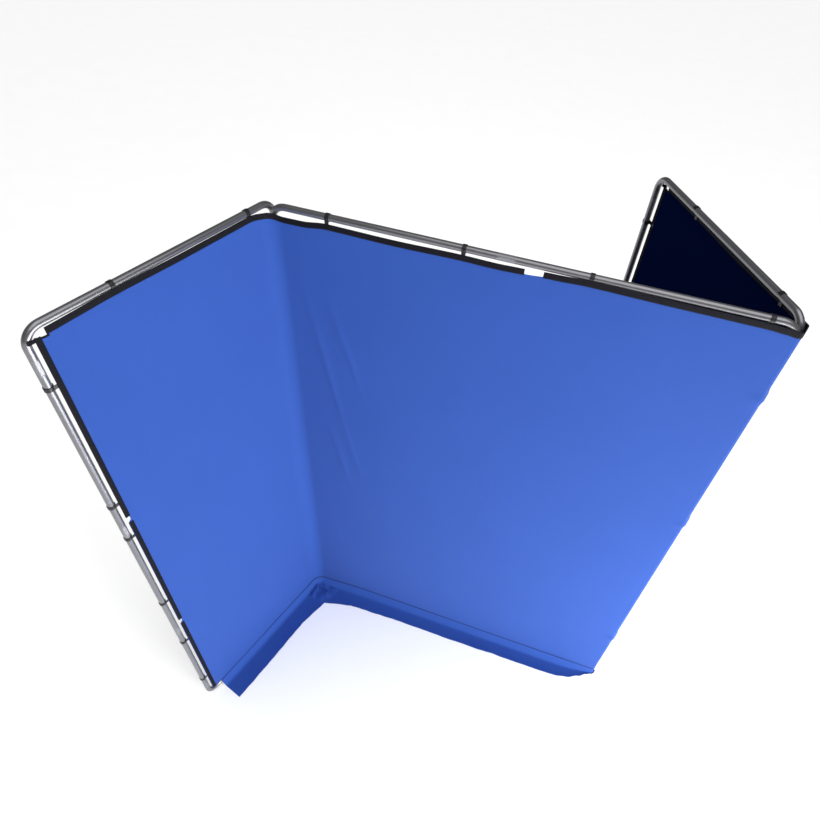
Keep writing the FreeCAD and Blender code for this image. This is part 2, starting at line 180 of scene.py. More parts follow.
class WallColours(bpy.types.PropertyGroup):
    """Colours of the wall's finishes."""

    cloth_front: bpy.props.FloatVectorProperty(
        name="Cloth front", description="Keying blue of the cover's face", subtype="COLOR",
        size=4, min=0.0, max=1.0, default=(0.0205, 0.0630, 0.283, 1.0))
    # the cover's back is given a near-black navy
    cloth_back: bpy.props.FloatVectorProperty(
        name="Cloth back", description="Near-black navy of the cover's back", subtype="COLOR",
        size=4, min=0.0, max=1.0, default=(0.0009, 0.0030, 0.022, 1.0))
    webbing: bpy.props.FloatVectorProperty(
        name="Webbing", description="Nylon border", subtype="COLOR",
        size=4, min=0.0, max=1.0, default=(0.0040, 0.0040, 0.0058, 1.0))
    clip: bpy.props.FloatVectorProperty(
        name="Clips", description="Moulded clips", subtype="COLOR",
        size=4, min=0.0, max=1.0, default=(0.004, 0.004, 0.005, 1.0))
    tube: bpy.props.FloatVectorProperty(
        name="Tube", description="Drawn aluminium tube", subtype="COLOR",
        size=4, min=0.0, max=1.0, default=(0.23, 0.23, 0.245, 1.0))
    coupler: bpy.props.FloatVectorProperty(
        name="Couplers", description="Cast aluminium couplers", subtype="COLOR",
        size=4, min=0.0, max=1.0, default=(0.26, 0.26, 0.28, 1.0))


class StageSettings(bpy.types.PropertyGroup):
    """The studio round the wall."""

    key_power: bpy.props.FloatProperty(
        name="Key power", description="Strength of the low soft light on the right",
        default=340.0, min=0.0, subtype="POWER")
    top_power: bpy.props.FloatProperty(
        name="Top power", description="Strength of the soft light overhead",
        default=170.0, min=0.0, subtype="POWER")
    surround: bpy.props.FloatProperty(
        name="Surround", description="Brightness of the pale surround that lights the wall",
        default=1.0, min=0.0)
    reflected: bpy.props.FloatProperty(
        name="Reflected surround", description="Brightness of the surround in shiny surfaces",
        default=0.10, min=0.0)
    focal_length: bpy.props.FloatProperty(
        name="Focal length", description="The camera's focal length in millimetres",
        default=27.35, min=10.0)


# ---------------------------------------------------------------- the cover's line in plan

# where the centre wall's cloth and skirt are split, from the centre frame's left post
CENTRE_SPLIT = 1.038
# the flat cloth beside each post of the right hinge that is made as finely as the bend
WRAP_MARGIN = 0.02


class StraightRun:
    """A straight part of the cover's line."""

    def __init__(self, start, heading, length):
        self.start, self.heading, self.length = start, heading, length

    def at(self, distance):
        return self.start + direction(self.heading) * distance, self.heading

    def end(self):
        return self.at(self.length)[0]


class RoundRun:
    """A part of the line that goes round a centre, to the left where the turn is positive."""

    def __init__(self, start, heading, radius, turn):
        self.heading, self.radius, self.turn = heading, radius, turn
        side = math.copysign(1.0, turn)
        self.centre = start - front_of(heading) * radius * side
        self.side = side
        self.length = radius * abs(turn)

    def at(self, distance):
        heading = self.heading + self.side * distance / self.radius
        return self.centre + front_of(heading) * self.radius * self.side, heading

    def end(self):
        return self.at(self.length)[0]


class CoverLine:
    """The cover seen from above: from the left outer edge, round both corners, to the right."""

    def __init__(self, sizes):
        gap, radius = sizes.stand_off, sizes.corner_radius
        start = LEFT_OUTER + direction(LEFT_HEADING) * sizes.edge_gap + front_of(LEFT_HEADING) * gap
        wall_y = CENTRE_LEFT.y - gap
        to_corner = (wall_y - start.y) / direction(LEFT_HEADING).y
        turn = CENTRE_HEADING - LEFT_HEADING
        tangent = radius * math.tan(abs(turn) / 2)
        self.runs = [StraightRun(start, LEFT_HEADING, to_corner - tangent)]
        self.add(RoundRun, radius, turn)
        along = CENTRE_RIGHT.x - self.runs[-1].end().x
        self.add(StraightRun, along)
        self.add(RoundRun, gap, CLIP_HEADING - CENTRE_HEADING)
        self.add(StraightRun, (RIGHT_INNER - CENTRE_RIGHT).length)
        self.add(RoundRun, gap, RIGHT_HEADING - CLIP_HEADING)
        side_width = (RIGHT_OUTER - RIGHT_INNER).length
        self.add(StraightRun, side_width - sizes.edge_gap)
        starts = [0.0]
        for run in self.runs:
            starts.append(starts[-1] + run.length)
        self.starts = starts
        self.hollow_start, self.hollow_end = starts[1], starts[2]
        self.hollow_middle = (starts[1] + starts[2]) / 2
        self.wrap_start, self.wrap_end = starts[3], starts[6]
        self.wrap_middle = (starts[4] + starts[5]) / 2
        self.wrap_near, self.wrap_far = starts[3] - WRAP_MARGIN, starts[6] + WRAP_MARGIN
        self.split = self.station_of_x(CENTRE_SPLIT)
        self.length = starts[7]

    def add(self, kind, *facts):
        last = self.runs[-1]
        heading = last.at(last.length)[1]
        if kind is StraightRun:
            self.runs.append(StraightRun(last.end(), heading, facts[0]))
        else:
            self.runs.append(RoundRun(last.end(), heading, facts[0], facts[1]))

    def at(self, station):
        """The point, the heading and the facing at a distance along the line."""
        index = 0
        while index < len(self.runs) - 1 and station > self.starts[index + 1]:
            index += 1
        point, heading = self.runs[index].at(station - self.starts[index])
        return point, heading, front_of(heading)

    def station_of_x(self, x):
        """The station on the centre wall at a distance from the centre frame's left post."""
        return self.hollow_end + (CENTRE_LEFT.x + x - self.at(self.hollow_end)[0].x)

    def station_of_right(self, distance):
        """The station on the right wall at a distance from the right frame's inner post."""
        return self.wrap_end + distance


# ---------------------------------------------------------------- shape of the cloth

# heights are given as drops from the wall's top, places from the centre frame's left post
HINGE_CLIP_HEIGHTS = sorted(WALL_HEIGHT - drop for drop in (0.349, 1.163, 2.380))
TOP_BREAK = (1.004, 1.072)
SIDE_BREAK_DROPS = ((0.988, 1.024), (1.916, 1.952))
BREAK_DEPTH = 0.020
PULLED_FOLDS = (
    # x from the centre frame's left post and height of each end, how proud, how wide
    ((0.100, 2.60), (0.300, 1.55), 1.2, 0.016),
    ((0.200, 2.58), (0.380, 1.95), 1.1, 0.014),
    ((0.170, 1.75), (0.300, 1.15), 1.0, 0.016),
    ((0.260, 1.70), (0.360, 1.30), 0.8, 0.014),
    ((0.120, 0.90), (0.230, 0.45), 0.6, 0.018),
)


def fold_height(across, height):
    """Long soft folds pulled from the hollow corner, across being x from the left post."""
    total = 0.0
    for (x0, z0), (x1, z1), proud, wide in PULLED_FOLDS:
        run = Vector((x1 - x0, z1 - z0))
        offset = Vector((across - x0, height - z0))
        part = min(max(offset.dot(run) / run.length_squared, 0.0), 1.0)
        away = (offset - run * part).length
        fade = math.sin(math.pi * min(max(part, 0.06), 0.94))
        total += proud * fade * math.exp(-(away / wide) ** 2)
    return total


class ClothShape:
    """The cover's surface: a point for each station along it and each height."""

    def __init__(self, sizes, line):
        self.sizes, self.line = sizes, line
        left_clips = [0.302 - sizes.edge_gap, 0.885 - sizes.edge_gap]
        x = line.station_of_x
        right = line.station_of_right
        # how far the cloth's top edge hangs below the top tubes' axis
        self.top_drops = [
            (0.0, 0.014), (left_clips[0], 0.008), (0.55, 0.011), (left_clips[1], 0.010),
            (line.hollow_middle - 0.012, 0.021), (x(0.055), 0.036),
            (x(0.13), 0.035), (x(0.238), 0.023), (x(0.50), 0.026), (x(0.776), 0.021),
            (x(0.90), 0.023), (x(1.004), 0.020), (x(1.10), 0.013), (x(1.236), 0.008),
            (x(1.53), 0.011), (x(1.827), 0.012), (x(1.885), 0.016), (line.wrap_start, 0.020),
            (line.wrap_end, 0.020), (right(0.147), 0.018), (right(0.43), 0.023),
            (right(0.72), 0.019), (line.length, 0.020),
        ]

    def crease(self, station):
        """The height at which the wall turns into the skirt; it sags towards the corner."""
        line, height = self.line, self.sizes.crease_height
        return eased_between([(0.0, height * 0.78), (0.5, height * 0.70),
                              (line.hollow_middle, height * 0.60),
                              (line.station_of_x(0.35), height), (line.length, height)], station)

    def hem(self, station):
        """The height of the border's top edge."""
        return TUBE_TOP_AXIS - eased_between(self.top_drops, station)

    def top_edge(self, station):
        """The height of the cloth's top edge, with its notches and the gap in its border."""
        sizes, line = self.sizes, self.line
        height = self.hem(station)
        start, end = (line.station_of_x(place) for place in TOP_BREAK)
        open_share = smooth(station, start - 0.001, start + 0.001)
        open_share -= smooth(station, end - 0.001, end + 0.001)
        height -= BREAK_DEPTH * open_share
        from_end = min(station, self.line.length - station)
        inside = 1 - smooth(from_end, sizes.notch_width - 0.001, sizes.notch_width)
        return height - self.scoop(from_end) * inside

    def scoop(self, from_end):
        """The depth of the corner's scoop at a distance from the outer edge."""
        share = min(from_end / self.sizes.notch_width * 1.25, 1.0)
        return self.sizes.notch_depth * (0.62 + 0.38 * math.sin(math.pi / 2 * share))

    def relief(self, station, height):
        """How far the cloth stands forward of its line."""
        sizes, line = self.sizes, self.line
        point = line.at(station)[0]
        near_edge = min(station, line.length - station, self.top_edge(station) - height)
        settle = smooth(near_edge, 0.0, 0.12)
        slack = noise.noise(Vector((station * 1.7, height * 1.1, 3.0))) * 0.0022
        slack += noise.noise(Vector((station * 5.0, height * 3.0, 9.0))) * 0.0007
        forward = (slack + 0.0010) * settle
        across = point.x - CENTRE_LEFT.x
        if line.hollow_end < station < line.wrap_start:
            forward += sizes.crease_depth * fold_height(across, height) * settle
        if line.wrap_start - 0.05 < station < line.wrap_end + 0.05:
            round_post = smooth(station, line.wrap_start - 0.05, line.wrap_start)
            round_post *= 1 - smooth(station, line.wrap_end, line.wrap_end + 0.05)
            bump = sum(math.exp(-((height - rise) / 0.021) ** 4) for rise in HINGE_CLIP_HEIGHTS)
            forward = forward * (1 - round_post) + 0.0048 * bump * round_post
        return max(forward, 0.0)

    def point(self, station, height, lift=0.0):
        place, _, facing = self.line.at(station)
        return place + facing * (self.relief(station, height) + lift) + UP * height


def even_stations(start, end, spacing):
    """Stations from start to end, about a spacing apart."""
    count = max(1, round((end - start) / spacing))
    return [start + (end - start) * index / count for index in range(count + 1)]


def stations_through(*stops):
    """Stations through several places, each pair of places having its spacing between them."""
    stations = [stops[0]]
    for start, spacing, end in zip(stops[0::2], stops[1::2], stops[2::2]):
        stations += even_stations(start, end, spacing)[1:]
    return stations


# ---------------------------------------------------------------- making meshes


def finished_piece(name, mesh_maker, materials):
    """A new object at the origin, from a bmesh."""
    mesh = bpy.data.meshes.new(name)
    mesh_maker.to_mesh(mesh)
    mesh_maker.free()
    for material in materials:
        mesh.materials.append(material)
    for polygon in mesh.polygons:
        polygon.use_smooth = True
    piece = bpy.data.objects.new(name, mesh)
    bpy.context.scene.collection.objects.link(piece)
    return piece


def settle_modifiers(piece):
    """Applies what the piece's modifiers make."""
    graph = bpy.context.evaluated_depsgraph_get()
    mesh = bpy.data.meshes.new_from_object(piece.evaluated_get(graph))
    piece.modifiers.clear()
    old = piece.data
    piece.data = mesh
    bpy.data.meshes.remove(old)
    mesh.name = piece.name


def add_grid(bm, across, up, place):
    """A grid of faces, its corners put in place by place(across, up), which also gives a UV."""
    columns, rows = len(across) - 1, len(up) - 1
    uv_layer = bm.loops.layers.uv.get("UVMap") or bm.loops.layers.uv.new("UVMap")
    made = bmesh.ops.create_grid(bm, x_segments=columns, y_segments=rows, size=1.0)["verts"]
    flat = {}
    for corner in made:
        column = round((corner.co.x + 1) / 2 * columns)
        row = round((corner.co.y + 1) / 2 * rows)
        corner.co, flat[corner] = place(across[column], up[row])
    for face in {face for corner in made for face in corner.link_faces}:
        for loop in face.loops:
            loop[uv_layer].uv = flat[loop.vert]
    return made


def thicken(piece, thickness, back_slot=0, edge=0.0):
    """Gives a sheet its thickness behind its face, and softens its rim."""
    shell = piece.modifiers.new("thickness", "SOLIDIFY")
    shell.thickness = thickness
    shell.offset = -1.0
    shell.material_offset = back_slot
    if edge:
        soft = piece.modifiers.new("soft edge", "BEVEL")
        soft.width = edge
        soft.segments = 2
        soft.limit_method = "ANGLE"
        soft.angle_limit = math.radians(50)
    settle_modifiers(piece)
    for polygon in piece.data.polygons:
        polygon.use_smooth = True
    piece.data.set_sharp_from_angle(angle=math.radians(38))


# ---------------------------------------------------------------- finishes


class Amount:
    """A socket that can be used in sums; each sum adds its Math node."""

    def __init__(self, finish, socket):
        self.finish, self.socket = finish, socket

    def sum(self, operation, first, second=0.0):
        return self.finish.node("ShaderNodeMath", {"operation": operation}, {0: first, 1: second})

    def __add__(self, other):
        return self.sum("ADD", self, other)

    __radd__ = __add__

    def __mul__(self, other):
        return self.sum("MULTIPLY", self, other)

    __rmul__ = __mul__

    def __sub__(self, other):
        return self.sum("SUBTRACT", self, other)

    def __rsub__(self, other):
        return self.sum("SUBTRACT", other, self)

    def __pow__(self, other):
        return self.sum("POWER", self, other)

    def __gt__(self, other):
        return self.sum("GREATER_THAN", self, other)

    def __lt__(self, other):
        return self.sum("LESS_THAN", self, other)


class Finish:
    """One material, and the nodes that make it."""

    def __init__(self, name, **constants):
        self.material = bpy.data.materials.new(name)
        self.material.use_nodes = True
        self.tree = self.material.node_tree
        self.shader = self.tree.nodes["Principled BSDF"]
        for socket, amount in constants.items():
            self.shader.inputs[socket.replace("_", " ")].default_value = amount

    def node(self, kind, settings=None, inputs=None, output=0):
        """Adds a node: its settings first, then the values or links of its sockets."""
        made = self.tree.nodes.new(kind)
        for name, value in (settings or {}).items():
            if name == "stops":
                ramp = made.color_ramp
                while len(ramp.elements) < len(value):
                    ramp.elements.new(0.5)
                for element, (place, colour) in zip(ramp.elements, value):
                    element.position, element.color = place, colour
            else:
                setattr(made, name, value)
        for name, value in (inputs or {}).items():
            if isinstance(value, Amount):
                self.tree.links.new(value.socket, made.inputs[name])
            else:
                made.inputs[name].default_value = value
        return Amount(self, made.outputs[output])

    def mix(self, factor, first, second):
        """Mixes two colours."""
        return self.node("ShaderNodeMix", {"data_type": "RGBA"},
                         {0: factor, 6: first, 7: second}, output=2)

    def place(self, source="Object", scale=(1.0, 1.0, 1.0), turn=0.0):
        """Object or UV coordinates, turned about Z and scaled."""
        if source == "UV":
            coordinates = self.node("ShaderNodeUVMap", {"uv_map": "UVMap"})
        else:
            coordinates = self.node("ShaderNodeTexCoord", output="Object")
        turned = self.node("ShaderNodeMapping", {}, {0: coordinates, 2: (0.0, 0.0, turn)})
        return self.node("ShaderNodeMapping", {}, {0: turned, 3: scale})

    def noise(self, where, scale, detail=2.0, roughness=0.5):
        return self.node("ShaderNodeTexNoise", {},
                         {"Vector": where, "Scale": scale, "Detail": detail,
                          "Roughness": roughness})

    def bump(self, height, strength, distance):
        return self.node("ShaderNodeBump", {},
                         {"Height": height, "Strength": strength, "Distance": distance})

    def feed(self, **links):
        """Links what varies over the surface to the shader's sockets."""
        for socket, amount in links.items():
            self.tree.links.new(amount.socket, self.shader.inputs[socket.replace("_", " ")])
        return self.material


def scaled(colour, factor):
    return tuple(min(channel * factor, 1.0) for channel in colour[:3]) + (1.0,)


def knit_cloth(name, colour, contrast, gloss):
    """Brushed stretch knit: fine ribs, a soft nap, slow changes of shade, and painted shade in a
    thin strip along the cloth's foot.
    """
    cloth = Finish(name, Sheen_Weight=gloss, Sheen_Roughness=0.45,
                   Specular_IOR_Level=gloss * 2.4)
    flat = cloth.place("UV")
    ribs = cloth.node("ShaderNodeTexWave", {"wave_type": "BANDS", "bands_direction": "X"},
                      {"Vector": flat, "Scale": 180.0, "Distortion": 1.2, "Detail": 1.0,
                       "Detail Scale": 2.0}, output="Fac")
    courses = cloth.node("ShaderNodeTexWave", {"wave_type": "BANDS", "bands_direction": "Y"},
                         {"Vector": flat, "Scale": 120.0, "Distortion": 1.5, "Detail": 1.0,
                          "Detail Scale": 2.0}, output="Fac")
    nap = cloth.noise(flat, 420.0, 3.0, 0.6)
    patches = cloth.noise(flat, 2.2, 3.0, 0.55)
    rubbed = cloth.noise(cloth.place("UV", (1.0, 0.35, 1.0)), 9.0, 4.0, 0.6)
    shade = (patches - 0.5) * contrast + (rubbed - 0.5) * (contrast * 0.5) + (nap - 0.5) * 0.10
    base = cloth.mix(shade + 0.5, scaled(colour, 0.84), scaled(colour, 1.16))
    # painted shade: a thin strip is darkened on both sides of the crease where the wall turns into
    # the skirt, and at the right wall's foot by the floor
    drop = cloth.node("ShaderNodeSeparateXYZ", {}, {0: flat}, output="Y")
    crease_shade = cloth.node("ShaderNodeMath", {"operation": "ABSOLUTE"}, {0: drop}) < 0.0042
    base = cloth.mix(crease_shade * 0.80, base, scaled(colour, 0.35))
    texture = ribs * 0.45 + courses * 0.30 + nap * 0.55
    return cloth.feed(Base_Color=base, Roughness=(nap - 0.5) * 0.12 + 0.82,
                      Normal=cloth.bump(texture, 0.35, 0.0006))


def nylon_webbing(name, colour):
    """Woven nylon tape: slanting ribs, and a row of stitches near each edge."""
    tape = Finish(name, Specular_IOR_Level=0.06)
    flat = tape.place("UV")
    ribs = tape.node("ShaderNodeTexWave", {"wave_type": "BANDS", "bands_direction": "DIAGONAL"},
                     {"Vector": flat, "Scale": 160.0, "Distortion": 0.6}, output="Fac")
    ends = tape.node("ShaderNodeTexWave", {"wave_type": "BANDS", "bands_direction": "Y"},
                     {"Vector": flat, "Scale": 260.0, "Distortion": 0.3}, output="Fac")
    fibres = tape.noise(flat, 700.0, 2.0)
    across = tape.node("ShaderNodeSeparateXYZ", {}, {0: flat}, output="Y")
    along = tape.node("ShaderNodeSeparateXYZ", {}, {0: flat}, output="X")
    from_middle = tape.node("ShaderNodeMath", {"operation": "ABSOLUTE"}, {0: across - 0.014})
    off_row = tape.node("ShaderNodeMath", {"operation": "ABSOLUTE"}, {0: from_middle - 0.0105})
    step = tape.node("ShaderNodeMath", {"operation": "FRACT"}, {0: along * 250.0})
    stitch = (off_row < 0.0006) * (step < 0.62)
    dirt = tape.noise(flat, 14.0, 4.0, 0.65)
    base = tape.mix(ribs * 0.35 + dirt * 0.45, colour, scaled(colour, 2.6))
    base = tape.mix(stitch * 0.8, base, scaled(colour, 3.6))
    weave = ribs * 0.5 + ends * 0.3 + fibres * 0.2 + stitch * 0.9
    return tape.feed(Base_Color=base, Roughness=dirt * 0.2 + 0.55,
                     Normal=tape.bump(weave, 0.5, 0.0008))


def moulded_plastic(name, colour):
    """Black moulded plastic with a fine spark-eroded grain and rubbed patches."""
    plastic = Finish(name, Specular_IOR_Level=0.45)
    where = plastic.place()
    grain = plastic.noise(where, 1500.0, 2.0)
    rubbed = plastic.noise(where, 60.0, 4.0, 0.6)
    base = plastic.mix(rubbed ** 2.0, colour, scaled(colour, 3.2))
    return plastic.feed(Base_Color=base, Roughness=rubbed * 0.25 + 0.34,
                        Normal=plastic.bump(grain, 0.25, 0.0003))


def drawn_tube(name, colour, heading=None):
    """Satin drawn aluminium: fine lines along the tube, handling marks, faint dull patches."""
    metal = Finish(name, Metallic=0.85, IOR=1.5)
    upright = heading is None
    stretch = (260.0, 260.0, 3.0) if upright else (3.0, 260.0, 260.0)
    where = metal.place("Object", stretch, 0.0 if upright else -heading)
    lines = metal.noise(where, 1.0, 3.0, 0.6)
    marks = metal.noise(metal.place(), 38.0, 5.0, 0.7)
    dull = metal.noise(metal.place(), 3.5, 3.0, 0.5)
    rub = (marks > 0.66) * 0.5
    base = metal.mix(lines * 0.5 + dull * 0.3 + rub * 0.3,
                     scaled(colour, 0.74), scaled(colour, 1.25))
    return metal.feed(Base_Color=base, Roughness=lines * 0.14 + dull * 0.12 + 0.20 + rub * 0.12,
                      Normal=metal.bump(lines * 0.7 + marks * 0.3, 0.12, 0.0002))


def cast_coupler(name, colour):
    """Matt cast aluminium with a sandy skin and brighter rubbed spots."""
    metal = Finish(name, Metallic=0.85)
    where = metal.place()
    sand = metal.noise(where, 900.0, 3.0, 0.7)
    pores = metal.noise(where, 240.0, 2.0)
    worn = metal.noise(where, 26.0, 4.0, 0.6)
    base = metal.mix(worn * 0.6 + sand * 0.4, scaled(colour, 0.78), scaled(colour, 1.25))
    return metal.feed(Base_Color=base, Roughness=sand * 0.18 + worn * 0.14 + 0.34,
                      Normal=metal.bump(sand * 0.7 + pores * 0.5, 0.35, 0.0003))


def finish_named(name):
    """A finish that an earlier operator made."""
    material = bpy.data.materials.get(name)
    if material is None:
        raise RuntimeError("make the finishes first: %s is missing" % name)
    return material


class BACKDROP_OT_finishes(bpy.types.Operator):
    """Makes the cloth, webbing, plastic and metal finishes, and puts them on the frame's nodes"""

    bl_idname = "backdrop.finishes"
    bl_label = "Finishes"

    def execute(self, context):
        colours = context.scene.backdrop_colours
        cloth = knit_cloth("Blue knit front", tuple(colours.cloth_front), 0.30, 0.05)
        # the cover's back: a near-black navy finish
        knit_cloth("Dark navy back", tuple(colours.cloth_back), 0.50, 0.0)
        webbing = nylon_webbing("Black webbing", tuple(colours.webbing))
        clip = moulded_plastic("Clip plastic", tuple(colours.clip))
        coupler = cast_coupler("Cast coupler", tuple(colours.coupler))
        upright = drawn_tube("Drawn tube upright", tuple(colours.tube))
        across = {
            "left": drawn_tube("Drawn tube left", tuple(colours.tube), LEFT_HEADING),
            "centre": drawn_tube("Drawn tube centre", tuple(colours.tube), CENTRE_HEADING),
            "right": drawn_tube("Drawn tube right", tuple(colours.tube), RIGHT_HEADING),
        }
        for name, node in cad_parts.items():
            if "coupler" in name:
                material = coupler
            elif "clips" in name:
                material = clip
            elif "_tube" in name:
                material = across[name.split("_")[0]]
            elif "_post" in name:
                material = upright
            elif "webbing" in name:
                material = webbing
            else:
                material = cloth
            for holder in node.material_slots:
                holder.material = material
        return {"FINISHED"}


# ---------------------------------------------------------------- cloth operators

# spacings of the cloth's faces along the cover's line
OPEN_STEP, FOLDED_STEP, BUNCHED_STEP = 0.016, 0.013, 0.005
HOLLOW_STEP, WRAP_STEP = 0.006, 0.0025
# the strip beside an outer edge that gives way where the edge is cut back
CUT_MARGIN = 0.045
# distances from a hinge's middle for a bend that is not made: where it would reach, and how far it
# would stay with the clips
HOLLOW_REACH, WRAP_REACH, WRAP_STILL = 0.110, 0.034, 0.018


def cloth_finishes():
    """The cloth's face and its back."""
    return [finish_named("Blue knit front"), finish_named("Dark navy back")]


def cover_shape(context):
    sizes = context.scene.backdrop_cover
    return ClothShape(sizes, CoverLine(sizes))


def wall_rows(sizes, foot):
    """Shares of the height from the foot to the top edge, closer where the edges are cut."""
    low = sizes.crease_height * 0.78 if foot is None else foot
    height = TUBE_TOP_AXIS - 0.012 - low
    shares = [0.0, 0.003, 0.007, 0.012, 0.018]
    shares += [0.018 + 0.952 * index / 170 for index in range(1, 171)]
    shares += [0.978, 0.985, 0.991, 0.996, 1.0]
    for drops in SIDE_BREAK_DROPS:
        for drop in drops:
            place = (WALL_HEIGHT - drop - low) / height
            shares = [share for share in shares if abs(share - place) > 0.0015]
            shares += [place - 0.0008, place + 0.0008]
    return sorted(shares)


def cut_back(height):
    """How far the cloth's outer edge is cut back at a height."""
    depth = 0.0
    for high_drop, low_drop in SIDE_BREAK_DROPS:
        low, high = WALL_HEIGHT - low_drop, WALL_HEIGHT - high_drop
        depth += smooth(height, low - 0.002, low + 0.002)
        depth -= smooth(height, high - 0.002, high + 0.002)
    return depth * BREAK_DEPTH * 0.75


def wall_sheet(name, shape, stations, foot):
    """One wall of the cover, from its foot to its top edge."""
    sizes = shape.sizes

    def place(station, share):
        low = shape.crease(station) if foot is None else foot
        height = low + (shape.top_edge(station) - low) * share
        from_left, from_right = station, shape.line.length - station
        if from_left < CUT_MARGIN:
            station += cut_back(height) * (1 - from_left / CUT_MARGIN)
        elif from_right < CUT_MARGIN:
            station -= cut_back(height) * (1 - from_right / CUT_MARGIN)
        tuck = 0.0
        if foot is None:
            tuck = -0.0010 * (1 - smooth(height, low, low + 0.012))
        return shape.point(station, height, tuck), (station, height - low)

    bm = bmesh.new()
    add_grid(bm, stations, wall_rows(sizes, foot), place)
    piece = finished_piece(name, bm, cloth_finishes())
    thicken(piece, sizes.thickness, back_slot=1)
    return piece


def hollow_blend(piece, shape, frame_body):
    """Bakes a piece's place into its mesh. It also works out where a bend over the left hinge,
    between its frame and the clips, would start; nothing uses that point and the piece is not bent.
    """
    middle, heading, _ = shape.line.at(shape.line.hollow_middle)
    side = -1 if frame_body == "left_frame" else 1
    start = middle + direction(heading) * (side * HOLLOW_REACH)
    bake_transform(piece)


def wrap_blend(piece, shape, frame_body):
    """Bakes a piece's place into its mesh. It also works out where a bend over the right hinge,
    between its frame and the clips, would start and end; nothing uses these points and the piece is
    not bent.
    """
    middle, heading, _ = shape.line.at(shape.line.wrap_middle)
    side = -1 if frame_body == "centre_frame" else 1
    start = middle + direction(heading) * (side * WRAP_REACH)
    end = middle + direction(heading) * (side * WRAP_STILL)
    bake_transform(piece)


class BACKDROP_OT_cover(bpy.types.Operator):
    """Stretches the four walls of the cloth cover over the frames"""

    bl_idname = "backdrop.cover"
    bl_label = "Cloth Cover"

    def execute(self, context):
        shape = cover_shape(context)
        sizes, line = shape.sizes, shape.line
        notch = even_stations(0.0, sizes.notch_width - 0.001, 0.0043) + [sizes.notch_width]
        far_notch = [line.length - distance for distance in reversed(notch)]
        floor = 0.003
        gap_start, gap_end = (line.station_of_x(place) for place in TOP_BREAK)
        # the cloth's top edge steps down and up at each end of the gap, within this much
        step = 0.001
        left = notch + stations_through(notch[-1], OPEN_STEP, line.hollow_start, HOLLOW_STEP,
                                        line.hollow_middle)[1:]
        centre_left = stations_through(line.hollow_middle, HOLLOW_STEP, line.hollow_end,
                                       FOLDED_STEP, gap_start - step, 2 * step, gap_start + step,
                                       FOLDED_STEP, line.split)
        centre_right = stations_through(line.split, FOLDED_STEP, gap_end - step, 2 * step,
                                        gap_end + step, OPEN_STEP, line.wrap_near, WRAP_STEP,
                                        line.wrap_middle)
        right = stations_through(line.wrap_middle, WRAP_STEP, line.wrap_far, OPEN_STEP,
                                 far_notch[0]) + far_notch[1:]
        walls = (
            ("left_wall_cloth", left, None, ("left_cover",), "left_frame"),
            ("centre_wall_cloth_left", centre_left, None, ("centre_cover",), "centre_frame"),
            ("centre_wall_cloth_right", centre_right, None, ("centre_cover",), "centre_frame"),
            ("right_wall_cloth", right, floor, ("right_cover",), "right_frame"),
        )
        for name, stations, foot, nodes, body in walls:
            piece = wall_sheet(name, shape, stations, foot)
            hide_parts(*nodes)
            if "left" in name:
                hollow_blend(piece, shape, body)
            else:
                wrap_blend(piece, shape, body)
            width = stations[-1] - stations[0]
            length = TUBE_TOP_AXIS - 0.02 - (foot or sizes.crease_height)
            body.split("_")[0] + "_cover_clips"
        return {"FINISHED"}


# how far from the hollow corner the bunched folds, the mitred edge and the fine faces go
SKIRT_FOLD_REACH, MITRE_REACH, BUNCHED_REACH = 0.17, 0.30, 0.25


def skirt_fold(point, corner, bisector):
    """Bunched folds that fan out of the hollow corner, the same on both sides of it."""
    away = (point - corner).to_2d()
    distance = away.length
    if distance < 1e-6:
        return 0.0
    side = math.atan2(away.cross(bisector.to_2d()), away.dot(bisector.to_2d()))
    fan = 1.7 * abs(noise.noise(Vector((side * 2.6, distance * 9.0, 5.0))))
    fan += 0.6 * abs(noise.noise(Vector((side * 5.0, distance * 14.0, 8.0))))
    rise = smooth(distance, 0.0, 0.05) * (1 - smooth(distance, 0.11, SKIRT_FOLD_REACH))
    return 0.015 * fan * rise


